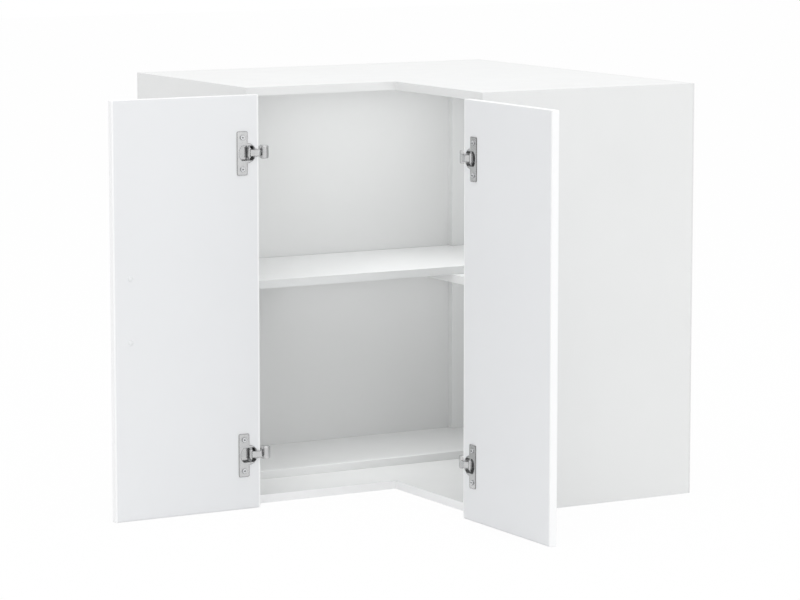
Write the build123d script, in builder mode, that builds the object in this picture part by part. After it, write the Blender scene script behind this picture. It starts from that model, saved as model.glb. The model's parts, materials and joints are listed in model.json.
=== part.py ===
"""Corner wall cabinet with two doors on concealed wide-angle hinges.

Frame: the two walls meet at X = 0, Y = 0. The left wing runs along -X, the right wing
along -Y, +Z is up and Z = 0 is the underside. The right-hand pieces are the left-hand
ones mirrored across the diagonal, which swaps X and Y. The doors are made fully open.
"""
from build123d import *
import os

os.makedirs("parts", exist_ok=True)

# ---------------------------------------------------------------- driving dimensions, mm
WIDTH = 600.0            # each wing, wall corner to outer face of the side panel
DEPTH = 357.0            # wall to front edge of the carcass
HEIGHT = 600.0
BOARD = 12.0
BACK = 3.0               # hardboard back panels
FIT = 0.05               # clearance of round fittings in their holes
PILOT_RADIUS = 1.5
SCREW_CORE_RADIUS = PILOT_RADIUS - FIT
PAN_HEAD_RADIUS = 3.2
PAN_HEAD = 2.0
HIDDEN_SIDES = 8         # nails, shanks and dowels inside the boards are many-sided

SHELF_TOP = 306.3        # upper face of the long shelf board
SHELF_DEPTH = 238.0      # long board, front to back
WING_SHELF_WIDTH = 187.0
SHELF_GAP = 1.0
PEG_RADIUS = 2.5
PEG_HOLE_RADIUS = PEG_RADIUS + FIT
PEG_PITCH = 32.0

POST_WIDTH = 54.0        # corner post, flat against the left back panel
BATTEN_FRONT = 250.0     # front face of the floor batten, from the wall

DOOR_WIDTH = 228.0
DOOR_HEIGHT = 592.0
DOOR_THICKNESS = 11.0
HANDLE_PITCH = 90.0
HANDLE_HOLE_RADIUS = 2.25
HANDLE_INSET = 26.0
HANDLE_LEVEL = 253.0     # lower of the two handle holes, from the underside of the carcass

HINGE_LEVELS = {"lower": 78.0, "upper": 510.0}

# Hinge, seen from above in a frame at the front outer corner of the left side panel:
# x runs inwards along the front, y runs back into the cabinet. The door stands open.
ARM_PIVOT = (17.74, 4.13)
KNUCKLE_PIVOT = (16.40, -13.37)
CUP_PIVOT = (-7.83, -22.56)
DOOR_EDGE = 5.2
DOOR_FACE = -26.3
CUP_CENTRE = DOOR_EDGE - 18.25
CUP_RADIUS = 14.0
CUP_DEPTH = 9.2
CUP_WALL = 0.8
FLANGE_CENTRE = DOOR_EDGE - 26.25
FLANGE_WIDTH = 16.5
FLANGE_HEIGHT = 62.0
FLANGE_THICKNESS = 1.0
CUP_SCREW_PITCH = 45.0
NECK_HEIGHT = 9.6
NECK_THICKNESS = 2.0
CRANK_HEIGHT = 6.0
CRANK_HALF_WIDTH = 3.0
PIVOT_PIN_RADIUS = 1.5
CUP_PIN_RADIUS = 1.0
RUNNING = 0.05           # radial clearance of a turning pin
ARM_HEIGHT = 13.0
ARM_END = 58.0
PLATE_SCREW_PITCH = 32.0
PLATE_SCREW_Y = 37.0

DIAGONAL = Plane(origin=(0, 0, 0), z_dir=(1, -1, 0))
INNER = WIDTH - BOARD    # inner face of a side panel, from the wall corner


def save(part, label):
    part.label = label
    export_step(part, f"parts/{label}.step")


def wing(side, x, y, z=0.0):
    """A point or direction given for the left wing, on the left or the right."""
    if side == "left":
        return (x, y, z)
    return (y, x, z)


def face_plane(side, point, normal):
    return Plane(origin=wing(side, *point), z_dir=wing(side, *normal))


def drill(plane, radius, depth, sides=0):
    """Cut a round or many-sided hole into the part being built, from a plane facing out of it."""
    with BuildSketch(plane) as hole:
        if sides:
            RegularPolygon(radius, sides)
        else:
            Circle(radius)
    extrude(hole.sketch, amount=-depth, mode=Mode.SUBTRACT)


def rod(plane, radius, length, sides=0):
    """Add a round or many-sided rod to the part being built, from a plane along its normal."""
    with BuildSketch(plane) as end:
        if sides:
            RegularPolygon(radius, sides)
        else:
            Circle(radius)
    extrude(end.sketch, amount=length)


def block(x_range, y_range, z_range, mode=Mode.ADD):
    """Add or cut a board given by its faces."""
    centre = ((x_range[0] + x_range[1]) / 2, (y_range[0] + y_range[1]) / 2, z_range[0])
    with BuildSketch(Plane(origin=centre)) as outline:
        Rectangle(x_range[1] - x_range[0], y_range[1] - y_range[0])
    extrude(outline.sketch, amount=z_range[1] - z_range[0], mode=mode)


def mirrored(part):
    """The same piece on the other wing."""
    with BuildPart() as twin:
        add(mirror(part, about=DIAGONAL, mode=Mode.PRIVATE))
    return twin.part


def add_pan_screw(plane, length):
    """Pan-head screw with a crossed slot; the plane is the face its head sits on."""
    rod(plane, PAN_HEAD_RADIUS, PAN_HEAD)
    rod(plane.offset(-length), SCREW_CORE_RADIUS, length, HIDDEN_SIDES)
    with BuildSketch(plane.offset(PAN_HEAD)) as driver:
        Rectangle(PAN_HEAD_RADIUS, PAN_HEAD_RADIUS / 5)
        Rectangle(PAN_HEAD_RADIUS / 5, PAN_HEAD_RADIUS)
    extrude(driver.sketch, amount=-PAN_HEAD / 2, mode=Mode.SUBTRACT)


def countersink(plane, length, radius, head_radius, mode=Mode.ADD):
    """Countersunk shape turned about the plane's normal, head flush with the plane."""
    side_view = Plane(origin=plane.origin, x_dir=plane.x_dir, z_dir=-plane.y_dir)
    with BuildSketch(side_view) as profile:
        with BuildLine():
            Polyline((0, 0), (head_radius, 0), (radius, radius - head_radius), (radius, -length),
                     (0, -length), close=True)
        make_face()
    revolve(profile.sketch, Axis(origin=plane.origin, direction=plane.z_dir), mode=mode)


# ------------------------------------------------------------------------------- nails
NAIL_RADIUS = 0.7
NAIL_LENGTH = 16.0
NAIL_HEAD_RADIUS = 1.6
NAIL_HEAD = 0.6
NAIL_LEVELS = (60.0, 180.0, 300.0, 420.0, 540.0)
NAIL_ROWS = (-120.0, -300.0, -480.0)
NAIL_REACH = NAIL_LENGTH + 0.1
POST_NAIL_LEVELS = (60.0, 180.0, 420.0, 520.0)
POST_NAIL_ROW = {"left": -30.0, "right": -BACK - BOARD / 2}


def nail_places():
    """Side and wall-face point of every nail through the back panels."""
    places = []
    for side in ("left", "right"):
        for level in NAIL_LEVELS:
            places.append((side, (-WIDTH + BOARD / 2, 0, level)))
        for row in NAIL_ROWS:
            for level in PANEL_LEVELS:
                places.append((side, (row, 0, level)))
        post_row = POST_NAIL_ROW[side]
        for level in POST_NAIL_LEVELS:
            places.append((side, (post_row, 0, level)))
    return places


def cut_nail_holes(for_side, depth):
    for side, point in nail_places():
        if side == for_side:
            drill(face_plane(side, point, (0, 1, 0)), NAIL_RADIUS, depth, HIDDEN_SIDES)
            drill(face_plane(side, point, (0, 1, 0)), NAIL_HEAD_RADIUS, NAIL_HEAD, HIDDEN_SIDES)


# ------------------------------------------------------------------------ cam fittings
CAM_ROWS = (-60.0, -300.0)
DOWEL_ROWS = (-105.0, -255.0)
CAM_RADIUS = 6.0
CAM_DEPTH = 9.4
CAM_INSET = 24.0
BOLT_THREAD_RADIUS = 2.5
BOLT_THREAD_LENGTH = 9.0
BOLT_SHANK_RADIUS = 3.0
DOWEL_RADIUS = 3.0
DOWEL_HOLE_RADIUS = DOWEL_RADIUS + FIT
DOWEL_IN_SIDE = 8.0
DOWEL_IN_PANEL = 18.0
PANEL_LEVELS = (BOARD / 2, HEIGHT - BOARD / 2)


def end_joint_holes(side, level, inner_face, inwards):
    """Cam, bolt and dowel holes in the end of a top or bottom panel."""
    for row in CAM_ROWS:
        drill(face_plane(side, (-INNER, row, level), (-1, 0, 0)), BOLT_SHANK_RADIUS + FIT, CAM_INSET)
        cam_point = (-INNER + CAM_INSET, row, inner_face)
        drill(face_plane(side, cam_point, (0, 0, inwards)), CAM_RADIUS + FIT, CAM_DEPTH)
    for row in DOWEL_ROWS:
        drill(face_plane(side, (-INNER, row, level), (-1, 0, 0)), DOWEL_HOLE_RADIUS,
              DOWEL_IN_PANEL)


# ----------------------------------------------------------------------------- carcass
BATTEN_SCREW_ROWS = (-520.0, -300.0, -80.0)
BATTEN_SCREW_LENGTH = 20.0
BATTEN_SCREW_HEAD_RADIUS = 3.0
BATTEN_LINE = -BATTEN_FRONT + BOARD / 2
BATTEN_EDGE = 0.8


def cut_batten_screw_holes():
    for row in BATTEN_SCREW_ROWS:
        countersink(Plane(origin=(row, BATTEN_LINE, 0), z_dir=(0, 0, -1)), BATTEN_SCREW_LENGTH + 1,
                    PILOT_RADIUS, BATTEN_SCREW_HEAD_RADIUS + FIT, mode=Mode.SUBTRACT)


def end_panel(z_bottom, inner_face, inwards):
    """L-shaped top or bottom panel between the two side panels."""
    with BuildPart() as panel:
        with BuildSketch(Plane.XY.offset(z_bottom)):
            with BuildLine():
                Polyline(
                    (-INNER, -BACK), (-BACK, -BACK), (-BACK, -INNER), (-DEPTH, -INNER),
                    (-DEPTH, -DEPTH), (-INNER, -DEPTH), close=True,
                )
            make_face()
        extrude(amount=BOARD)
        for side in ("left", "right"):
            end_joint_holes(side, z_bottom + BOARD / 2, inner_face, inwards)
    return panel.part


with BuildPart() as top_panel:
    add(end_panel(HEIGHT - BOARD, HEIGHT - BOARD, -1))
    cut_nail_holes("left", NAIL_REACH)
    cut_nail_holes("right", NAIL_REACH)
save(top_panel.part, "top_panel")

with BuildPart() as bottom_panel:
    add(end_panel(0.0, BOARD, 1))
    cut_nail_holes("left", NAIL_REACH)
    cut_nail_holes("right", NAIL_REACH)
    cut_batten_screw_holes()
save(bottom_panel.part, "bottom_panel")

PEG_ROWS = (-50.0, -205.0)       # left side panel, under the long shelf board
WING_PEG_ROWS = (-40.0, -160.0)  # right side panel, under the wing shelf board
LONG_SHELF_UNDERSIDE = SHELF_TOP - BOARD
WING_SHELF_UNDERSIDE = LONG_SHELF_UNDERSIDE - BOARD
PEG_HOLE_DEPTH = 8.0
PILOT_DEPTH = 9.0
BRACKET_LEVEL = 565.0
BRACKET_SCREW_PITCH = 22.0
BRACKET_SCREW_Y = -20.0


def side_panel(side, peg_rows, shelf_underside):
    """Side panel with its shelf-peg rows and the holes for fittings."""
    inward = (1, 0, 0)
    with BuildPart() as panel:
        if side == "left":
            block((-WIDTH, -INNER), (-DEPTH, -BACK), (0, HEIGHT))
        else:
            block((-DEPTH, -BACK), (-WIDTH, -INNER), (0, HEIGHT))
        for row in peg_rows:
            for step in (-1, 0, 1):
                level = shelf_underside - PEG_RADIUS + step * PEG_PITCH
                drill(face_plane(side, (-INNER, row, level), inward), PEG_HOLE_RADIUS, PEG_HOLE_DEPTH)
        for level in PANEL_LEVELS:
            for row in CAM_ROWS:
                drill(face_plane(side, (-INNER, row, level), inward),
                      BOLT_THREAD_RADIUS + FIT, BOLT_THREAD_LENGTH)
            for row in DOWEL_ROWS:
                drill(face_plane(side, (-INNER, row, level), inward),
                      DOWEL_HOLE_RADIUS, DOWEL_IN_SIDE)
        for level in HINGE_LEVELS.values():
            for end in (-1, 1):
                point = (-INNER, PLATE_SCREW_Y - DEPTH, level + end * PLATE_SCREW_PITCH / 2)
                drill(face_plane(side, point, inward), PILOT_RADIUS, PILOT_DEPTH)
        for end in (-1, 1):
            point = (-INNER, BRACKET_SCREW_Y, BRACKET_LEVEL + end * BRACKET_SCREW_PITCH / 2)
            drill(face_plane(side, point, inward), PILOT_RADIUS, PILOT_DEPTH)
        cut_nail_holes(side, NAIL_REACH)
    return panel.part


save(side_panel("left", PEG_ROWS, LONG_SHELF_UNDERSIDE), "left_side_panel")
save(side_panel("right", WING_PEG_ROWS, WING_SHELF_UNDERSIDE), "right_side_panel")

WALL_HOLE_RADIUS = 3.25
WALL_HOLE_INSET = 25.0           # from the inner face of the side panel
POST_PEG_X = -30.0
with BuildPart() as back_panel_left:
    block((-WIDTH, 0), (-BACK, 0), (0, HEIGHT))
    drill(face_plane("left", (-INNER + WALL_HOLE_INSET / 2, 0, BRACKET_LEVEL), (0, 1, 0)),
          WALL_HOLE_RADIUS, BACK)
    cut_nail_holes("left", BACK)
save(back_panel_left.part, "back_panel_left")

with BuildPart() as back_panel_right:
    block((-BACK, 0), (-WIDTH, -BACK), (0, HEIGHT))
    drill(face_plane("right", (-INNER + WALL_HOLE_INSET / 2, 0, BRACKET_LEVEL), (0, 1, 0)),
          WALL_HOLE_RADIUS, BACK)
    cut_nail_holes("right", BACK)
save(back_panel_right.part, "back_panel_right")

with BuildPart() as corner_post:
    block((-BACK - POST_WIDTH, -BACK), (-BACK - BOARD, -BACK), (BOARD, HEIGHT - BOARD))
    for peg_step in (-1, 0, 1):
        peg_level = WING_SHELF_UNDERSIDE - PEG_RADIUS + peg_step * PEG_PITCH
        drill(Plane(origin=(POST_PEG_X, -BACK - BOARD, peg_level), z_dir=(0, -1, 0)),
              PEG_HOLE_RADIUS, PEG_HOLE_DEPTH)
    cut_nail_holes("left", NAIL_REACH)
    cut_nail_holes("right", NAIL_REACH)
save(corner_post.part, "corner_post")

with BuildPart() as floor_batten:
    block((-INNER, -BACK), (-BATTEN_FRONT, -BATTEN_FRONT + BOARD), (BOARD, 2 * BOARD))
    chamfer(floor_batten.edges().filter_by(Axis.X).group_by(Axis.Z)[-1], BATTEN_EDGE)
    cut_batten_screw_holes()
save(floor_batten.part, "floor_batten")

# ------------------------------------------------------------------------------- shelf
SHELF_DOWELS = ((-60.0, -120.0), (-150.0, -120.0))
SHELF_DOWEL_DEPTH = 7.0
NOTCH = BACK + BOARD + SHELF_GAP


def cut_post_notch(z_range):
    """Clear the corner post with a notch in a shelf board's back corner."""
    block((-BACK - POST_WIDTH - SHELF_GAP, 0), (-NOTCH, 0), z_range, mode=Mode.SUBTRACT)


with BuildPart() as shelf_long:
    levels = (LONG_SHELF_UNDERSIDE, SHELF_TOP)
    block((-INNER + SHELF_GAP, -BACK - SHELF_GAP),
          (-BACK - SHELF_GAP - SHELF_DEPTH, -BACK - SHELF_GAP), levels)
    cut_post_notch(levels)
    for spot in SHELF_DOWELS:
        drill(Plane(origin=(*spot, LONG_SHELF_UNDERSIDE), z_dir=(0, 0, -1)),
              DOWEL_HOLE_RADIUS, SHELF_DOWEL_DEPTH)
save(shelf_long.part, "shelf_long")

with BuildPart() as shelf_wing:
    levels = (WING_SHELF_UNDERSIDE, LONG_SHELF_UNDERSIDE)
    block((-BACK - SHELF_GAP - WING_SHELF_WIDTH, -BACK - SHELF_GAP),
          (-INNER + SHELF_GAP, -BACK - SHELF_GAP), levels)
    cut_post_notch(levels)
    for spot in SHELF_DOWELS:
        drill(Plane(origin=(*spot, LONG_SHELF_UNDERSIDE), z_dir=(0, 0, 1)),
              DOWEL_HOLE_RADIUS, SHELF_DOWEL_DEPTH)
save(shelf_wing.part, "shelf_wing")

with BuildPart() as shelf_dowels:
    for spot in SHELF_DOWELS:
        bottom = LONG_SHELF_UNDERSIDE - SHELF_DOWEL_DEPTH + FIT
        rod(Plane(origin=(*spot, bottom)), DOWEL_RADIUS, 2 * (SHELF_DOWEL_DEPTH - FIT),
            HIDDEN_SIDES)
save(shelf_dowels.part, "shelf_dowels")

PEG_OUT = 9.0


def peg_plane(side, row, shelf_underside):
    """Plane on the inner face of a side panel, at a peg under the shelf."""
    return face_plane(side, (-INNER, row, shelf_underside - PEG_RADIUS), (1, 0, 0))


with BuildPart() as shelf_pegs:
    for peg_row in PEG_ROWS:
        rod(peg_plane("left", peg_row, LONG_SHELF_UNDERSIDE).offset(-PEG_HOLE_DEPTH),
            PEG_RADIUS, PEG_HOLE_DEPTH + PEG_OUT)
    for peg_row in WING_PEG_ROWS:
        rod(peg_plane("right", peg_row, WING_SHELF_UNDERSIDE).offset(-PEG_HOLE_DEPTH),
            PEG_RADIUS, PEG_HOLE_DEPTH + PEG_OUT)
    rod(Plane(origin=(POST_PEG_X, -BACK - BOARD + PEG_HOLE_DEPTH, WING_SHELF_UNDERSIDE - PEG_RADIUS),
              z_dir=(0, -1, 0)), PEG_RADIUS, PEG_HOLE_DEPTH + PEG_OUT)
save(shelf_pegs.part, "shelf_pegs")

# --------------------------------------------------------------- carcass fastenings
CAM_HEIGHT = 9.35
CAM_SLOT_DEPTH = 1.2
BOLT_NECK_RADIUS = 1.5
BOLT_SHANK = 16.0
BOLT_NECK = 21.5
BOLT_HEAD = 24.4
BOLT_HEAD_RADIUS = 2.8
CAM_POCKET_RADIUS = 4.0


def add_cam(side, row, inner_face, inwards):
    """Cam disc: hollow below, a channel towards the bolt and a crossed driver slot."""
    centre = wing(side, -INNER + CAM_INSET, row, inner_face)
    seat = Plane(origin=centre, x_dir=wing(side, -1, 0), z_dir=(0, 0, -inwards))
    pocket_height = BOARD / 2 + BOLT_HEAD_RADIUS + FIT - (BOARD - CAM_HEIGHT)
    with BuildSketch(seat) as disc:
        Circle(CAM_RADIUS)
    extrude(disc.sketch, amount=CAM_HEIGHT)
    with BuildSketch(seat.offset(CAM_HEIGHT)) as pocket:
        Circle(CAM_POCKET_RADIUS)
        with Locations((CAM_RADIUS / 2, 0)):
            Rectangle(CAM_RADIUS, 2 * BOLT_NECK_RADIUS + 4 * FIT)
    extrude(pocket.sketch, amount=-pocket_height, mode=Mode.SUBTRACT)
    with BuildSketch(seat) as driver:
        Rectangle(CAM_RADIUS, CAM_SLOT_DEPTH)
        Rectangle(CAM_SLOT_DEPTH, CAM_RADIUS)
    extrude(driver.sketch, amount=CAM_SLOT_DEPTH, mode=Mode.SUBTRACT)


def add_bolt(side, row, level):
    """Cam bolt: thread in the side panel, shank, thin neck and a head inside the cam."""
    start = face_plane(side, (-INNER, row, level), (1, 0, 0))
    rod(start.offset(-BOLT_THREAD_LENGTH), BOLT_THREAD_RADIUS, BOLT_THREAD_LENGTH, HIDDEN_SIDES)
    rod(start, BOLT_SHANK_RADIUS, BOLT_SHANK, HIDDEN_SIDES)
    rod(start.offset(BOLT_SHANK), BOLT_NECK_RADIUS, BOLT_NECK - BOLT_SHANK, HIDDEN_SIDES)
    rod(start.offset(BOLT_NECK), BOLT_HEAD_RADIUS, BOLT_HEAD - BOLT_NECK, HIDDEN_SIDES)


with BuildPart() as cam_discs:
    for wing_side in ("left", "right"):
        for cam_row in CAM_ROWS:
            add_cam(wing_side, cam_row, BOARD, 1)
            add_cam(wing_side, cam_row, HEIGHT - BOARD, -1)
save(cam_discs.part, "cam_discs")

with BuildPart() as cam_bolts:
    for wing_side in ("left", "right"):
        for cam_row in CAM_ROWS:
            for bolt_level in PANEL_LEVELS:
                add_bolt(wing_side, cam_row, bolt_level)
save(cam_bolts.part, "cam_bolts")

with BuildPart() as carcass_dowels:
    for wing_side in ("left", "right"):
        for dowel_row in DOWEL_ROWS:
            for dowel_level in PANEL_LEVELS:
                start = (-INNER - DOWEL_IN_SIDE + FIT, dowel_row, dowel_level)
                rod(face_plane(wing_side, start, (1, 0, 0)), DOWEL_RADIUS,
                    DOWEL_IN_SIDE + DOWEL_IN_PANEL - 2 * FIT, HIDDEN_SIDES)
save(carcass_dowels.part, "carcass_dowels")

with BuildPart() as back_panel_nails:
    for nail_side, nail_point in nail_places():
        nail_plane = face_plane(nail_side, nail_point, (0, -1, 0))
        rod(nail_plane, NAIL_HEAD_RADIUS - FIT, NAIL_HEAD, HIDDEN_SIDES)
        rod(nail_plane, NAIL_RADIUS - FIT, NAIL_LENGTH, HIDDEN_SIDES)
save(back_panel_nails.part, "back_panel_nails")

with BuildPart() as batten_screws:
    for screw_x in BATTEN_SCREW_ROWS:
        screw_plane = Plane(origin=(screw_x, BATTEN_LINE, 0), z_dir=(0, 0, -1))
        countersink(screw_plane, BATTEN_SCREW_LENGTH, SCREW_CORE_RADIUS, BATTEN_SCREW_HEAD_RADIUS)
save(batten_screws.part, "batten_screws")

# Hanging brackets: steel angles in the upper outer rear corners, screwed to the sides.
BRACKET_THICKNESS = 2.0
BRACKET_HEIGHT = 40.0
BRACKET_SIDE_LEAF = 34.0
BRACKET_BACK_LEAF = WALL_HOLE_INSET
BRACKET_SCREW_LENGTH = 10.0


def hanging_bracket():
    """Angle bracket for the left wing."""
    with BuildPart() as bracket:
        with BuildSketch(Plane.XY.offset(BRACKET_LEVEL - BRACKET_HEIGHT / 2)):
            with BuildLine():
                Polyline(
                    (-INNER, -BACK), (-INNER + BRACKET_BACK_LEAF, -BACK),
                    (-INNER + BRACKET_BACK_LEAF, -BACK - BRACKET_THICKNESS),
                    (-INNER + BRACKET_THICKNESS, -BACK - BRACKET_THICKNESS),
                    (-INNER + BRACKET_THICKNESS, -BACK - BRACKET_SIDE_LEAF),
                    (-INNER, -BACK - BRACKET_SIDE_LEAF), close=True,
                )
            make_face()
        extrude(amount=BRACKET_HEIGHT)
        bend = bracket.edges().filter_by(Axis.Z).sort_by_distance((-INNER, -BACK, BRACKET_LEVEL))
        fillet(bend[1], BRACKET_THICKNESS / 2)
    return bracket.part


with BuildPart() as bracket_left:
    add(hanging_bracket())
    drill(face_plane("left", (-INNER + WALL_HOLE_INSET / 2, -BACK, BRACKET_LEVEL), (0, 1, 0)),
          WALL_HOLE_RADIUS, BRACKET_THICKNESS)
    for screw_end in (-1, 1):
        screw_level = BRACKET_LEVEL + screw_end * BRACKET_SCREW_PITCH / 2
        drill(face_plane("left", (-INNER, BRACKET_SCREW_Y, screw_level), (-1, 0, 0)),
              PILOT_RADIUS + RUNNING, BRACKET_THICKNESS)
save(bracket_left.part, "hanging_bracket_left")
save(mirrored(bracket_left.part), "hanging_bracket_right")

with BuildPart() as bracket_screws:
    for wing_side in ("left", "right"):
        for screw_end in (-1, 1):
            screw_level = BRACKET_LEVEL + screw_end * BRACKET_SCREW_PITCH / 2
            head_face = (-INNER + BRACKET_THICKNESS, BRACKET_SCREW_Y, screw_level)
            add_pan_screw(face_plane(wing_side, head_face, (1, 0, 0)), BRACKET_SCREW_LENGTH)
save(bracket_screws.part, "bracket_screws")

# ------------------------------------------------------------------------------- doors
DOOR_RANGE = (DOOR_EDGE - DOOR_WIDTH, DOOR_EDGE)
CUP_SCREW_DEPTH = 9.0
CUP_SCREW_PILOT = 1.5
EDGE_ROUND = 0.8


def hinge_plane(x, y, z=0.0):
    """Horizontal plane with its origin at a point of the left hinge frame."""
    return Plane(origin=(x - WIDTH, y - DEPTH, z))


def door_slab():
    """Left door, drilled for the hinge cups."""
    with BuildPart() as slab:
        middle = hinge_plane((DOOR_RANGE[0] + DOOR_RANGE[1]) / 2, DOOR_FACE + DOOR_THICKNESS / 2)
        with BuildSketch(middle):
            Rectangle(DOOR_WIDTH, DOOR_THICKNESS)
        extrude(amount=DOOR_HEIGHT)
        fillet(slab.edges(), EDGE_ROUND)
        for level in HINGE_LEVELS.values():
            drill(door_face_plane(CUP_CENTRE, level), CUP_RADIUS + FIT, CUP_DEPTH + FIT)
            for end in (-1, 1):
                drill(door_face_plane(FLANGE_CENTRE, level + end * CUP_SCREW_PITCH / 2),
                      CUP_SCREW_PILOT, CUP_SCREW_DEPTH)
    return slab.part


def door_face_plane(x, z):
    """Plane on the inner face of the open left door, facing out of it."""
    return Plane(origin=(x - WIDTH, DOOR_FACE - DEPTH, z), x_dir=(1, 0, 0), z_dir=(0, -1, 0))


with BuildPart() as left_door:
    add(door_slab())
    for handle_level in (HANDLE_LEVEL, HANDLE_LEVEL + HANDLE_PITCH):
        drill(door_face_plane(DOOR_RANGE[0] + HANDLE_INSET, handle_level),
              HANDLE_HOLE_RADIUS, DOOR_THICKNESS)
save(left_door.part, "left_door")
save(mirrored(door_slab()), "right_door")

# ------------------------------------------------------------------------------ hinges
CUP_SCREW_LENGTH = 8.0
NOTCH_WIDTH = 14.0
NOTCH_LENGTH = 7 * CUP_WALL
CUP_PIN_HALF_LENGTH = 12.4
CUP_NOTCH = 5.0
CUP_MOUTH = 20.6         # height of the opening in the flange
FLANGE_CORNER = 2.0


def hinge_cup(level):
    """Pressed cup under a flat flange, with a lowered rim where the neck passes."""
    with BuildPart() as cup:
        face = door_face_plane(CUP_CENTRE, level)
        with BuildSketch(face):
            Circle(CUP_RADIUS)
        extrude(amount=-CUP_DEPTH)
        with BuildSketch(face):
            Circle(CUP_RADIUS)
            with Locations((FLANGE_CENTRE - CUP_CENTRE, 0)):
                RectangleRounded(FLANGE_WIDTH, FLANGE_HEIGHT, FLANGE_CORNER)
        extrude(amount=FLANGE_THICKNESS)
        with BuildSketch(face):
            Circle(CUP_RADIUS - CUP_WALL)
        extrude(amount=-CUP_DEPTH + CUP_WALL, mode=Mode.SUBTRACT)
        with BuildSketch(face):
            Circle(CUP_RADIUS - CUP_WALL)
            Rectangle(2 * CUP_RADIUS, CUP_MOUTH, mode=Mode.INTERSECT)
            with Locations((CUP_RADIUS, 0)):
                Rectangle(NOTCH_LENGTH, NOTCH_WIDTH)
        extrude(amount=FLANGE_THICKNESS, mode=Mode.SUBTRACT)
        with BuildSketch(face):
            with Locations((CUP_RADIUS, 0)):
                Rectangle(NOTCH_LENGTH, NOTCH_WIDTH)
        extrude(amount=-CUP_NOTCH, mode=Mode.SUBTRACT)
        with BuildSketch(hinge_plane(*CUP_PIVOT, level - CUP_RADIUS)):
            Circle(CUP_PIN_RADIUS + FIT)
        extrude(amount=2 * CUP_RADIUS, mode=Mode.SUBTRACT)
        for end in (-1, 1):
            spot = door_face_plane(FLANGE_CENTRE, level + end * CUP_SCREW_PITCH / 2)
            drill(spot.offset(FLANGE_THICKNESS), CUP_SCREW_PILOT + FIT, FLANGE_THICKNESS)
    return cup.part


def neck_plane(level):
    """Plane of the neck: origin on the cup pin, x towards the knuckle pin."""
    reach = (KNUCKLE_PIVOT[0] - CUP_PIVOT[0], KNUCKLE_PIVOT[1] - CUP_PIVOT[1], 0)
    base = hinge_plane(*CUP_PIVOT, level)
    return Plane(origin=base.origin, x_dir=reach, z_dir=(0, 0, 1))


NECK_LENGTH = ((KNUCKLE_PIVOT[0] - CUP_PIVOT[0]) ** 2 + (KNUCKLE_PIVOT[1] - CUP_PIVOT[1]) ** 2) ** 0.5
NECK_PATH = ((0, 0), (0.2, -3.5), (4.0, -7.2), (10.4, -10.7), (14.7, -7.0),
             (NECK_LENGTH, 0))
NECK_BEND = 1.6
CUP_BARREL_RADIUS = 2.6
CUP_BARREL_HEIGHT = 14.6
KNUCKLE_RADIUS = 3.0
HEAD_CENTRE = (18.5, -17.8)  # round head in front of the knuckle, in the hinge frame
HEAD_RADIUS = 6.5
HEAD_HEIGHT = 19.0
HEAD_ROUND = 2.2
FORK_LENGTH = 9.5
FORK_FLOOR = 3.3         # closed side of the slot, from the pin
FORK_GAP = CRANK_HEIGHT + 0.6
CRANK_SWING = (65.2, 160.3)  # directions of the crank in the neck's frame, open and closed


def goose_neck(level):
    """Goose-neck link with a round head, slotted for the crank at the knuckle."""
    with BuildPart() as neck:
        plan = neck_plane(level)
        with BuildSketch(plan):
            with BuildLine() as centreline:
                FilletPolyline(*NECK_PATH, radius=NECK_BEND)
            trace(centreline.line, NECK_THICKNESS)
        extrude(amount=NECK_HEIGHT / 2, both=True)
        with BuildSketch(hinge_plane(0, 0, level)):
            with Locations(KNUCKLE_PIVOT):
                Circle(KNUCKLE_RADIUS)
            with Locations(HEAD_CENTRE):
                Circle(HEAD_RADIUS)
        extrude(amount=HEAD_HEIGHT / 2, both=True)
        rims = neck.faces().filter_by(Axis.Z).sort_by(Axis.Z)
        fillet(rims[0].edges() + rims[-1].edges(), HEAD_ROUND)
        with BuildSketch(plan):
            Circle(CUP_BARREL_RADIUS)
        extrude(amount=CUP_BARREL_HEIGHT / 2, both=True)
        with BuildSketch(plan):
            Circle(CUP_PIN_RADIUS + RUNNING)
            with Locations((NECK_LENGTH, 0)):
                Circle(PIVOT_PIN_RADIUS + FIT)
        extrude(amount=HEAD_HEIGHT / 2, both=True, mode=Mode.SUBTRACT)
        with BuildSketch(plan):
            with Locations(Location((NECK_LENGTH, 0), sum(CRANK_SWING) / 2)):
                Circle(FORK_LENGTH)
                with Locations((-FORK_FLOOR, 0)):
                    Rectangle(2 * FORK_LENGTH, 2 * FORK_LENGTH, align=(Align.MIN, Align.CENTER),
                              mode=Mode.INTERSECT)
        extrude(amount=FORK_GAP / 2, both=True, mode=Mode.SUBTRACT)
    return neck.part


def hinge_crank(level):
    """Straight crank between the arm pin and the knuckle pin."""
    with BuildPart() as crank:
        with BuildSketch(hinge_plane(0, 0, level - CRANK_HEIGHT / 2)):
            with BuildLine() as centreline:
                Line(ARM_PIVOT, KNUCKLE_PIVOT)
            trace(centreline.line, 2 * CRANK_HALF_WIDTH - 1)
            with Locations(ARM_PIVOT, KNUCKLE_PIVOT):
                Circle(CRANK_HALF_WIDTH)
            with Locations(ARM_PIVOT, KNUCKLE_PIVOT):
                Circle(PIVOT_PIN_RADIUS + RUNNING, mode=Mode.SUBTRACT)
        extrude(amount=CRANK_HEIGHT)
    return crank.part


ARM_NOSE_RADIUS = 3.3
ARM_BACK = 21.0          # outer face of the arm, from the outer face of the side panel
ARM_WEB = 2.0
ARM_START = 13.0
ARM_CHANNEL = 7.0
ARM_TOE = 0.5            # the arm's front clears the plate by this much
PLATE_FACE = 14.0
PLATE_CORNER = 3.0
PLATE_BODY_WIDTH = 20.0
PLATE_LENGTH = 40.0
PLATE_SPAN = 46.0
PLATE_EAR = 14.0
RAIL_START = 18.0
RAIL_END = 54.0
ARM_SCREW_Y = (27.0, 47.0)
ARM_SCREW_LENGTH = 6.0
ARM_SCREW_PILOT = 1.5


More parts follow.
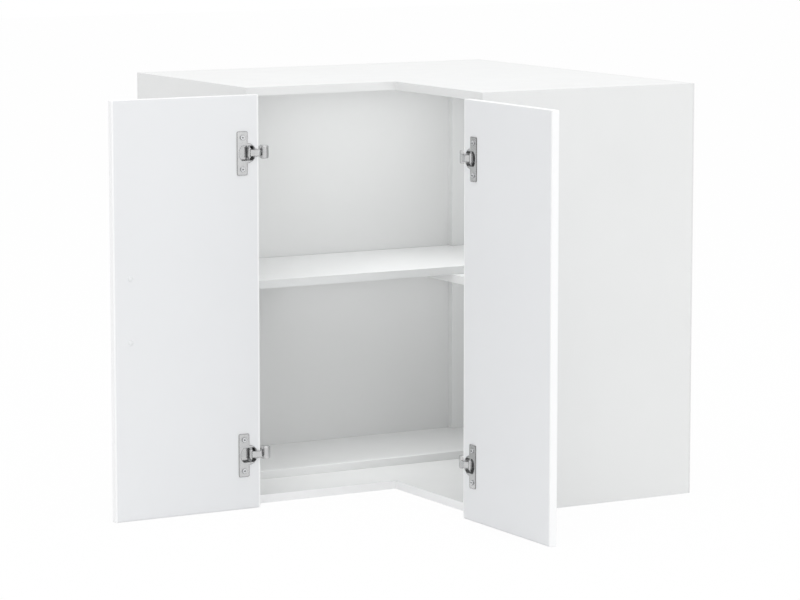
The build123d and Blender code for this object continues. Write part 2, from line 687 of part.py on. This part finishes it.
def hinge_arm(level):
    """Channel arm: two cheeks on the mounting plate, joined by a web, with a pin nose."""
    with BuildPart() as arm:
        with BuildSketch(hinge_plane(0, 0, level - ARM_HEIGHT / 2)):
            with BuildLine():
                Polyline((PLATE_FACE, ARM_END), (ARM_BACK, ARM_END), (ARM_BACK, ARM_PIVOT[1]),
                         (PLATE_FACE + ARM_TOE, ARM_PIVOT[1]), (PLATE_FACE, ARM_START), close=True)
            make_face()
            with Locations(ARM_PIVOT):
                Circle(ARM_NOSE_RADIUS)
        extrude(amount=ARM_HEIGHT)
        with BuildSketch(hinge_plane(0, 0, level - ARM_CHANNEL / 2)):
            with BuildLine():
                Polyline((0, 0), (2 * ARM_BACK, 0), (2 * ARM_BACK, ARM_START),
                         (ARM_BACK - ARM_WEB, ARM_START), (ARM_BACK - ARM_WEB, ARM_END),
                         (0, ARM_END), close=True)
            make_face()
        extrude(amount=ARM_CHANNEL, mode=Mode.SUBTRACT)
        with BuildSketch(hinge_plane(*ARM_PIVOT, level - ARM_HEIGHT / 2)):
            Circle(PIVOT_PIN_RADIUS + FIT)
        extrude(amount=ARM_HEIGHT, mode=Mode.SUBTRACT)
        for screw_y in ARM_SCREW_Y:
            drill(arm_screw_plane(level, screw_y), ARM_SCREW_PILOT + FIT, ARM_WEB)
    return arm.part


def arm_screw_plane(level, y):
    """Plane on the outer face of the arm's web, facing into the cabinet."""
    return Plane(origin=(ARM_BACK - WIDTH, y - DEPTH, level), z_dir=(1, 0, 0))


def mounting_plate(level):
    """Winged plate screwed to the side panel, with the rail that carries the arm."""
    with BuildPart() as plate:
        base = Plane(origin=(-INNER, PLATE_SCREW_Y - DEPTH, level), x_dir=(0, 1, 0), z_dir=(1, 0, 0))
        with BuildSketch(base):
            RectangleRounded(PLATE_LENGTH, PLATE_BODY_WIDTH, PLATE_CORNER)
            RectangleRounded(PLATE_EAR, PLATE_SPAN, PLATE_CORNER)
        extrude(amount=PLATE_FACE - BOARD)
        block((PLATE_FACE - WIDTH, ARM_BACK - ARM_WEB - WIDTH),
              (RAIL_START - DEPTH, RAIL_END - DEPTH),
              (level - ARM_CHANNEL / 2 + RUNNING, level + ARM_CHANNEL / 2 - RUNNING))
        for end in (-1, 1):
            spot = (PLATE_FACE - WIDTH, PLATE_SCREW_Y - DEPTH, level + end * PLATE_SCREW_PITCH / 2)
            drill(Plane(origin=spot, z_dir=(1, 0, 0)), PILOT_RADIUS + FIT, PLATE_FACE - BOARD)
        for screw_y in ARM_SCREW_Y:
            drill(arm_screw_plane(level, screw_y), ARM_SCREW_PILOT, ARM_SCREW_LENGTH + FIT)
    return plate.part


def both_levels(make, label):
    """Build a hinge piece at both levels and save it for the left and right doors."""
    with BuildPart() as pair:
        for level in HINGE_LEVELS.values():
            add(make(level))
    save(pair.part, f"left_{label}")
    save(mirrored(pair.part), f"right_{label}")


def knuckle_pin(level):
    with BuildPart() as pin:
        rod(hinge_plane(*KNUCKLE_PIVOT, level - HEAD_HEIGHT / 2), PIVOT_PIN_RADIUS, HEAD_HEIGHT)
    return pin.part


def arm_pin(level):
    with BuildPart() as pin:
        rod(hinge_plane(*ARM_PIVOT, level - ARM_HEIGHT / 2), PIVOT_PIN_RADIUS, ARM_HEIGHT)
    return pin.part


def cup_pin(level):
    with BuildPart() as pin:
        rod(hinge_plane(*CUP_PIVOT, level - CUP_PIN_HALF_LENGTH), CUP_PIN_RADIUS,
            2 * CUP_PIN_HALF_LENGTH)
    return pin.part


def cup_screws(level):
    with BuildPart() as screws:
        for end in (-1, 1):
            spot = door_face_plane(FLANGE_CENTRE, level + end * CUP_SCREW_PITCH / 2)
            add_pan_screw(spot.offset(FLANGE_THICKNESS), CUP_SCREW_LENGTH)
    return screws.part


def plate_screws(level):
    with BuildPart() as screws:
        for end in (-1, 1):
            spot = (PLATE_FACE - WIDTH, PLATE_SCREW_Y - DEPTH, level + end * PLATE_SCREW_PITCH / 2)
            add_pan_screw(Plane(origin=spot, z_dir=(1, 0, 0)), BRACKET_SCREW_LENGTH)
    return screws.part


def arm_screws(level):
    with BuildPart() as screws:
        for screw_y in ARM_SCREW_Y:
            add_pan_screw(arm_screw_plane(level, screw_y), ARM_SCREW_LENGTH - FIT)
    return screws.part


both_levels(hinge_cup, "hinge_cups")
both_levels(cup_screws, "cup_screws")
both_levels(cup_pin, "cup_pins")
both_levels(goose_neck, "goose_necks")
both_levels(knuckle_pin, "knuckle_pins")
both_levels(hinge_crank, "hinge_cranks")
both_levels(hinge_arm, "hinge_arms")
both_levels(arm_pin, "arm_pins")
both_levels(arm_screws, "arm_screws")
both_levels(mounting_plate, "mounting_plates")
both_levels(plate_screws, "plate_screws")
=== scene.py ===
import json
import math

import bmesh
import bpy
from mathutils import Matrix, Vector


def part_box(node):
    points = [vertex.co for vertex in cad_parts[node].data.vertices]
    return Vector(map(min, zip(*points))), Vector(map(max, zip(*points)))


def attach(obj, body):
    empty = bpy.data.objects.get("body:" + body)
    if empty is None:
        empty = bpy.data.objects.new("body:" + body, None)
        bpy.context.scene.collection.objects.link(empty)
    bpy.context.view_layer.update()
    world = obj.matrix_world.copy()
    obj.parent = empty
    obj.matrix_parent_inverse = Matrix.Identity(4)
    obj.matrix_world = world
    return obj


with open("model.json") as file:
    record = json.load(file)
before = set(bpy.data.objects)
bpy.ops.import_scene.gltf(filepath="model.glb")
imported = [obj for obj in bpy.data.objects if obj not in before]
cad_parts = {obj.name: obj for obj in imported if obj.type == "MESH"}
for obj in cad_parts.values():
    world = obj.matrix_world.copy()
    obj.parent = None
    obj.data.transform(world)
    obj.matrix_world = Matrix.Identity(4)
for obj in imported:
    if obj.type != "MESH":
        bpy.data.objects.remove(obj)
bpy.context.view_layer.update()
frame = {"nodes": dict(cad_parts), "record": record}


# --------------------------------------------------------------- node helpers
# The numbers of the sockets that a Mix node uses for colours.
MIX_SHARE, MIX_FIRST, MIX_SECOND, MIX_RESULT = 0, 6, 7, 2


def feed(socket, value):
    """Link a node's output to a socket, or set the socket's own value."""
    if isinstance(value, bpy.types.NodeSocket):
        socket.id_data.links.new(value, socket)
    elif socket.type == "RGBA":
        socket.default_value = (*value, 1)
    else:
        socket.default_value = value


def add_node(tree, kind, inputs=None, **settings):
    """A shader node with its settings and with the inputs given by name or number."""
    made = tree.nodes.new("ShaderNode" + kind)
    for key, value in settings.items():
        setattr(made, key, value)
    for key, value in (inputs or {}).items():
        feed(made.inputs[key], value)
    return made


def noise(tree, scale, detail):
    """Noise in object coordinates."""
    where = add_node(tree, "TexCoord")
    inputs = {"Vector": where.outputs["Object"], "Scale": scale, "Detail": detail}
    cloud = add_node(tree, "TexNoise", inputs)
    return cloud.outputs["Fac"]


def remap(tree, value, before, after=(0.0, 1.0)):
    """A value moved from one range to another and held inside it."""
    ends = {"From Min": before[0], "From Max": before[1], "To Min": after[0], "To Max": after[1]}
    return add_node(tree, "MapRange", {"Value": value, **ends}).outputs["Result"]


def mix(tree, share, first, second):
    """The first colour where the share is 0, the second where it is 1."""
    inputs = {MIX_SHARE: share, MIX_FIRST: first, MIX_SECOND: second}
    return add_node(tree, "Mix", inputs, data_type="RGBA").outputs[MIX_RESULT]


def dot(tree, first, second):
    """The dot product of two vectors."""
    return add_node(tree, "VectorMath", {0: first, 1: second}, operation="DOT_PRODUCT").outputs["Value"]


def magnitude(tree, value):
    """A value without its sign."""
    return add_node(tree, "Math", {0: value}, operation="ABSOLUTE").outputs["Value"]


def bump(tree, value, strength, height):
    """A surface normal roughened by a value."""
    inputs = {"Height": value, "Strength": strength, "Distance": height}
    return add_node(tree, "Bump", inputs).outputs["Normal"]


def empty_material(name):
    """A new material and its node tree, with nothing in it."""
    made = bpy.data.materials.new(name)
    made.use_nodes = True
    made.node_tree.nodes.clear()
    return made, made.node_tree


def shade(tree, inputs):
    """Cover a material's surface with the principled shader."""
    shader = add_node(tree, "BsdfPrincipled", inputs)
    add_node(tree, "OutputMaterial", {"Surface": shader.outputs["BSDF"]})


# ------------------------------------------------------------------ materials
ALONG_X = (1, 0, 0)
ALONG_Y = (0, 1, 0)
ALONG_Z = (0, 0, 1)

NOISE_RANGE = (0.3, 0.7)       # where most values of the noise lie
# Reach of the painted shade in corners and creases, and its tone on the boards.
PAINTED_CREASE_SHADE_REACH = 0.003
BOARD_PAINTED_CREASE_SHADE = (0.55, 0.55, 0.55)

BOARD_DETAIL = 3.0
MOTTLE_SCALE = 9.0
GLOSS_SCALE = 30.0
PEEL_STRENGTH = 0.05
PEEL_HEIGHT = 0.0002
LACQUER_SPECULAR = 0.35
ON_FACE = (0.80, 0.98)         # cosines of the turn from the faces' axis, at the full painted edge tone and where it ends
CENTRE = 0.5
SIDE_HIGHLIGHT_WIDTH = 0.010              # width of the painted highlights down a door's sides, as a share of the door
SIDE_HIGHLIGHT_FADE = 1.2           # where they have faded out, in widths

METAL_DETAIL = 2.0
CLOUD_SCALE = 120.0
BRUSH_SCALE = 900.0
BRUSH_STRENGTH = 0.06
BRUSH_HEIGHT = 0.0001
METAL_PAINTED_CREASE_SHADE = 0.62            # tone of the painted shade in a crease, as a share of the metal's own
# Painted shade along the metal's edges: its reach and samples.
PAINTED_EDGE_SHADE_REACH = 0.0016
PAINTED_EDGE_SHADE_SAMPLES = 8
PAINTED_EDGE_SHADE_TURN = (0.80, 0.99)    # cosines of the turn at the full painted edge shade, and where it ends
PAINTED_EDGE_SHADE_TONE = 0.12            # tone of the full painted edge shade, as a share of the metal's own
METALNESS = 0.85


def painted_crease_shade(tree, colour, painted_shade):
    """A colour with painted shade, turning to a darker one in corners and round whatever stands on it."""
    openness = add_node(tree, "AmbientOcclusion", {"Distance": PAINTED_CREASE_SHADE_REACH}).outputs["AO"]
    return mix(tree, openness, painted_shade, colour)


def painted_edge_light_and_shade(tree, colour, faces, painted_edge_tone):
    """A board's colour with painted shade in its corners and a painted edge tone, lighter or darker than the
    face, where its surface turns from the faces' axis.
    """
    where = add_node(tree, "TexCoord")
    facing = magnitude(tree, dot(tree, where.outputs["Normal"], faces))
    return mix(tree, remap(tree, facing, ON_FACE), painted_edge_tone, painted_crease_shade(tree, colour, BOARD_PAINTED_CREASE_SHADE))


def painted_side_highlights(tree, colour, across, line):
    """A board's colour with a thin painted highlight down its sides at both ends of an axis."""
    where = add_node(tree, "TexCoord")
    share = dot(tree, where.outputs["Generated"], across)
    from_centre = add_node(tree, "Math", {0: share, 1: CENTRE}, operation="SUBTRACT").outputs["Value"]
    side_highlight_range = (CENTRE - SIDE_HIGHLIGHT_FADE * SIDE_HIGHLIGHT_WIDTH, CENTRE - SIDE_HIGHLIGHT_WIDTH)
    return mix(tree, remap(tree, magnitude(tree, from_centre), side_highlight_range), colour, line)


def lacquer(name, low, high, gloss, grain, faces=None, painted_edge_tone=None, painted_highlights_across=None):
    """Lacquered board: fine orange-peel bump, faint mottling of tone and gloss, and any painted edge light
    and shade and painted side highlights.
    """
    made, tree = empty_material(name)
    colour = mix(tree, noise(tree, MOTTLE_SCALE, BOARD_DETAIL), low, high)
    if faces:
        colour = painted_edge_light_and_shade(tree, colour, faces, painted_edge_tone)
    if painted_highlights_across:
        colour = painted_side_highlights(tree, colour, painted_highlights_across, painted_edge_tone)
    shade(tree, {
        "Base Color": colour,
        "Roughness": remap(tree, noise(tree, GLOSS_SCALE, BOARD_DETAIL), NOISE_RANGE, gloss),
        "Normal": bump(tree, noise(tree, grain, BOARD_DETAIL), PEEL_STRENGTH, PEEL_HEIGHT),
        "Specular IOR Level": LACQUER_SPECULAR,
    })
    return made


def metal(name, low, high, gloss):
    """Plated metal: cloudy tone, finely brushed gloss, and painted shade at its edges and in its creases."""
    made, tree = empty_material(name)
    cloud = mix(tree, noise(tree, CLOUD_SCALE, METAL_DETAIL), low, high)
    shaded = painted_crease_shade(tree, cloud, [METAL_PAINTED_CREASE_SHADE * part for part in low])
    rounded = add_node(tree, "Bevel", {"Radius": PAINTED_EDGE_SHADE_REACH}, samples=PAINTED_EDGE_SHADE_SAMPLES)
    surface = add_node(tree, "NewGeometry")
    turn = dot(tree, rounded.outputs["Normal"], surface.outputs["Normal"])
    tone = remap(tree, turn, PAINTED_EDGE_SHADE_TURN, (PAINTED_EDGE_SHADE_TONE, 1.0))
    painted_edge_shaded = add_node(tree, "VectorMath", {0: shaded, "Scale": tone}, operation="SCALE")
    brushing = noise(tree, BRUSH_SCALE, METAL_DETAIL)
    shade(tree, {
        "Base Color": painted_edge_shaded.outputs["Vector"],
        "Roughness": remap(tree, brushing, NOISE_RANGE, gloss),
        "Normal": bump(tree, brushing, BRUSH_STRENGTH, BRUSH_HEIGHT),
        "Metallic": METALNESS,
    })
    return made


# A board's finish has the two tones of its mottling, its range of roughness and the scale of its grain.
BOARD = dict(low=(0.796, 0.803, 0.801), high=(0.826, 0.833, 0.831), gloss=(0.38, 0.48), grain=500.0)
DOOR = dict(low=(0.808, 0.818, 0.832), high=(0.828, 0.838, 0.852), gloss=(0.30, 0.38), grain=420.0)
BACK = dict(low=(0.752, 0.757, 0.755), high=(0.782, 0.787, 0.785), gloss=(0.5, 0.6), grain=350.0)
BEECH = dict(low=(0.55, 0.39, 0.22), high=(0.66, 0.49, 0.30), gloss=(0.6, 0.75), grain=200.0)
# The bottom boards are painted darker and the shelves lighter than the other boards: painted shade and
# painted light on one white board.
PAINTED_SHADE_BOTTOM = dict(low=(0.762, 0.769, 0.767), high=(0.790, 0.797, 0.795), gloss=(0.38, 0.48), grain=500.0)
PAINTED_LIGHT_SHELF = dict(low=(0.828, 0.835, 0.835), high=(0.858, 0.865, 0.865), gloss=(0.38, 0.48), grain=500.0)
# Edge tones: painted highlights on the door edges and sides, the bottom panel's edges and the shelf wing's
# front edge; painted shade on the long shelf's front edge.
PAINTED_EDGE_HIGHLIGHT = (0.95, 0.955, 0.96)
SHELF_PAINTED_EDGE_SHADE = (0.68, 0.69, 0.69)
WING_PAINTED_EDGE_HIGHLIGHT = (0.97, 0.975, 0.975)

SLOT_MATERIALS = {
    "board": lacquer("white_board", **BOARD),
    "door_board": lacquer("cap_plastic", **DOOR),
    "back_board": lacquer("back_board", **BACK),
    "dowel_wood": lacquer("beech", **BEECH),
    "hinge_nickel": metal("nickel", (0.54, 0.545, 0.55), (0.62, 0.62, 0.62), (0.12, 0.22)),
    "zinc_steel": metal("zinc", (0.74, 0.75, 0.77), (0.84, 0.85, 0.86), (0.16, 0.26)),
    "zinc_casting": metal("zinc_casting", (0.40, 0.40, 0.41), (0.50, 0.50, 0.51), (0.38, 0.5)),
}
# Nodes whose finish differs from that of their slot by painted light and shade: painted highlights on edges
# and door sides, painted shade on the long shelf's front edge, the bottom boards darker and the shelves
# lighter.
NODE_MATERIALS = {
    "left_door": lacquer("left_door_board", **DOOR, faces=ALONG_Y, painted_edge_tone=PAINTED_EDGE_HIGHLIGHT, painted_highlights_across=ALONG_X),
    "right_door": lacquer("right_door_board", **DOOR, faces=ALONG_X, painted_edge_tone=PAINTED_EDGE_HIGHLIGHT, painted_highlights_across=ALONG_Y),
    "bottom_panel": lacquer("bottom_board", **PAINTED_SHADE_BOTTOM, faces=ALONG_Z, painted_edge_tone=PAINTED_EDGE_HIGHLIGHT),
    "floor_batten": lacquer("batten_board", **PAINTED_SHADE_BOTTOM),
    "shelf_long": lacquer("long_shelf_board", **PAINTED_LIGHT_SHELF, faces=ALONG_Z, painted_edge_tone=SHELF_PAINTED_EDGE_SHADE),
    "shelf_wing": lacquer("wing_shelf_board", **PAINTED_LIGHT_SHELF, faces=ALONG_Z, painted_edge_tone=WING_PAINTED_EDGE_HIGHLIGHT),
}

DOOR_EDGE = 0.0020
METAL_EDGE = 0.00025
OTHER_EDGE = 0.0005
EDGE_WIDTHS = {
    "door_board": DOOR_EDGE,
    "hinge_nickel": METAL_EDGE,
    "zinc_steel": METAL_EDGE,
    "zinc_casting": METAL_EDGE,
}
EDGE_STEPS = 2
SHARP_ANGLE = math.radians(35)
SAME_POINT = 1e-6


def soften_edges(node, width):
    """Join the faces at their corners and round every sharp edge a little."""
    weld = node.modifiers.new("weld", "WELD")
    weld.merge_threshold = SAME_POINT
    rounding = node.modifiers.new("rounded_edges", "BEVEL")
    rounding.width = width
    rounding.segments = EDGE_STEPS
    rounding.limit_method = "ANGLE"
    rounding.angle_limit = SHARP_ANGLE
    rounding.harden_normals = True


slots = {part["node"]: part["material_slot"] for part in frame["record"]["subparts"]}
for name, node in frame["nodes"].items():
    slot = slots[name]
    node.data.materials.clear()
    node.data.materials.append(NODE_MATERIALS.get(name, SLOT_MATERIALS[slot]))
    # Rounding leaves a thin line beside the screw holes of the 3 mm back panels, so they stay sharp.
    if slot != "back_board":
        soften_edges(node, EDGE_WIDTHS.get(slot, OTHER_EDGE))


# --------------------------------------------------------------- added pieces
TURN_STEPS = 32


def turned(name, profile, place, axis):
    """A piece turned from (radius, height) points about an axis through a place."""
    shape = bmesh.new()
    points = [shape.verts.new((radius, 0, height)) for radius, height in profile]
    edges = [shape.edges.new(pair) for pair in zip(points, points[1:])]
    bmesh.ops.spin(shape, geom=points + edges, cent=(0, 0, 0), axis=ALONG_Z,
                   angle=math.tau, steps=TURN_STEPS)
    bmesh.ops.remove_doubles(shape, verts=shape.verts, dist=SAME_POINT)
    bmesh.ops.recalc_face_normals(shape, faces=shape.faces)
    for face in shape.faces:
        face.smooth = True
    turn = Vector(axis).to_track_quat("Z", "Y").to_matrix().to_4x4()
    bmesh.ops.transform(shape, matrix=Matrix.Translation(place) @ turn, verts=shape.verts)
    mesh = bpy.data.meshes.new(name)
    shape.to_mesh(mesh)
    shape.free()
    piece = bpy.data.objects.new(name, mesh)
    bpy.context.scene.collection.objects.link(piece)
    return piece


# White caps pushed into the two handle holes, from the inside of the left door.
handle_holes = next(mount for mount in frame["record"]["mounts"] if mount["name"] == "handle_holes")
hole_x, _, middle_z = handle_holes["pos_m"]
hole_pitch = handle_holes["dims"]["spacing_y_mm"] / 1000
door_inner_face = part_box("left_door")[0].y
CAP_RADIUS = 0.0036
CAP_STEM = 0.0021
CAP_DOME = [(0, 0.0010), (0.0016, 0.0009), (0.0028, 0.0006), (CAP_RADIUS, 0.0001)]
CAP_UNDERSIDE = [(CAP_RADIUS, 0), (CAP_STEM, 0)]
CAP_TIP = [(CAP_STEM, -0.0055), (0.0012, -0.0062), (0, -0.0062)]
OUT_OF_DOOR = (0, -1, 0)
for number, side in enumerate((-1, 1), start=1):
    spot = (hole_x, door_inner_face, middle_z + side * hole_pitch / 2)
    cap = turned(f"handle_hole_cap_{number}", CAP_DOME + CAP_UNDERSIDE + CAP_TIP, spot, OUT_OF_DOOR)
    cap.data.materials.append(SLOT_MATERIALS["door_board"])
    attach(cap, "left_door_body")


# ------------------------------------------------------------------ the stage
WHITE = (1, 1, 1)
BACKGROUND_LEVEL = 1.0
WORLD_LEVEL = 0.88
FLOOR_SIZE = 24
FLOOR_COLOUR = (0.9, 0.9, 0.9)
FLOOR_ROUGHNESS = 0.9
FLOOR_GLOW = 0.96              # share of white light in the floor that is seen; the rest shows its shadow

CAMERA_PLACE = (-2.8248, -4.6656, 0.9617)
CAMERA_DIP = 7.8127            # degrees below the horizon
CAMERA_TURN = -29.8788         # degrees from +Y
CAMERA_LENS = 154.25
SENSOR_WIDTH = 36.0
CLIP_END = 60.0

width = -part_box("left_side_panel")[0].x
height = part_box("left_side_panel")[1].z
upper_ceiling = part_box("top_panel")[0].z
lower_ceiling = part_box("shelf_wing")[0].z
MIDDLE = (-width / 2, -width / 2, height / 2)
UPPER_FILL_DROP = 0.005        # how far the two largest fills hang under the board above them
LOWER_FILL_DROP = 0.0033

# Each lamp has its place, the point it faces, its size in metres and its power in watts.
ROOM_LAMPS = {
    "overhead": ((-0.8, -0.9, 3.2), MIDDLE, 2.4, 20.5),
    "front_high": ((-1.8, -2.6, 3.0), MIDDLE, 2.0, 6.3),
    "right": ((1.2, -4.0, 1.2), MIDDLE, 2.0, 9.8),
}
# Small fills inside the compartments, where little of the room's light reaches.
FILL_LAMPS = {
    "fill_upper": ((-0.22, -0.22, upper_ceiling - UPPER_FILL_DROP), (-0.22, -0.22, 0), 0.30, 0.425),
    "fill_upper_left": ((-0.47, -0.33, 0.445), (-0.47, 0, 0.445), 0.22, 0.04),
    "fill_shelf_left": ((-0.20, -0.42, 0.50), (-0.45, -0.20, 0.31), 0.15, 0.275),
    "fill_lower": ((-0.20, -0.20, lower_ceiling - LOWER_FILL_DROP), (-0.20, -0.20, 0), 0.34, 0.275),
    "fill_lower_left": ((-0.42, -0.36, 0.15), (-0.42, 0, 0.15), 0.20, 0.08),
}


def light_path_mix(tree, seen, unseen):
    """One value for camera, glossy and transmission rays, another for the rest."""
    path = add_node(tree, "LightPath")
    sight = path.outputs["Is Camera Ray"]
    for ray in ("Is Glossy Ray", "Is Transmission Ray"):
        either = add_node(tree, "Math", {0: sight, 1: path.outputs[ray]}, operation="MAXIMUM")
        sight = either.outputs["Value"]
    return remap(tree, sight, (0.0, 1.0), (unseen, seen))


def soft_light(name, place, target, size, power, in_gloss):
    """A square lamp that the camera doesn't see, and that gloss shows only if asked for."""
    lamp = bpy.data.lights.new(name, "AREA")
    lamp.size = size
    lamp.energy = power
    holder = bpy.data.objects.new(name, lamp)
    bpy.context.scene.collection.objects.link(holder)
    holder.location = place
    holder.rotation_euler = (Vector(target) - Vector(place)).to_track_quat("-Z", "Y").to_euler()
    holder.visible_camera = False
    holder.visible_glossy = in_gloss


world = bpy.data.worlds.new("studio")
bpy.context.scene.world = world
world.use_nodes = True
background = world.node_tree.nodes["Background"]
feed(background.inputs["Color"], WHITE)
feed(background.inputs["Strength"], light_path_mix(world.node_tree, BACKGROUND_LEVEL, WORLD_LEVEL))

for name, lamp in ROOM_LAMPS.items():
    soft_light(name, *lamp, in_gloss=True)
for name, lamp in FILL_LAMPS.items():
    soft_light(name, *lamp, in_gloss=False)

bpy.ops.mesh.primitive_plane_add(size=FLOOR_SIZE, location=(-width / 2, -width / 2, 0))
floor = bpy.context.object
floor.name = "floor"
floor_material, tree = empty_material("pale_floor")
paper = add_node(tree, "BsdfPrincipled", {
    "Base Color": FLOOR_COLOUR,
    "Roughness": FLOOR_ROUGHNESS,
    "Specular IOR Level": 0.0,
})
glow = add_node(tree, "Emission")
blend = add_node(tree, "MixShader", {
    0: light_path_mix(tree, FLOOR_GLOW, 0.0),
    1: paper.outputs["BSDF"],
    2: glow.outputs["Emission"],
})
add_node(tree, "OutputMaterial", {"Surface": blend.outputs["Shader"]})
floor.data.materials.append(floor_material)

camera_data = bpy.data.cameras.new("camera")
camera_data.lens = CAMERA_LENS
camera_data.sensor_width = SENSOR_WIDTH
camera_data.clip_end = CLIP_END
camera = bpy.data.objects.new("camera", camera_data)
bpy.context.scene.collection.objects.link(camera)
camera.location = CAMERA_PLACE
camera.rotation_euler = (math.radians(90 - CAMERA_DIP), 0, math.radians(CAMERA_TURN))
bpy.context.scene.camera = camera
bpy.context.scene.view_settings.view_transform = "Standard"
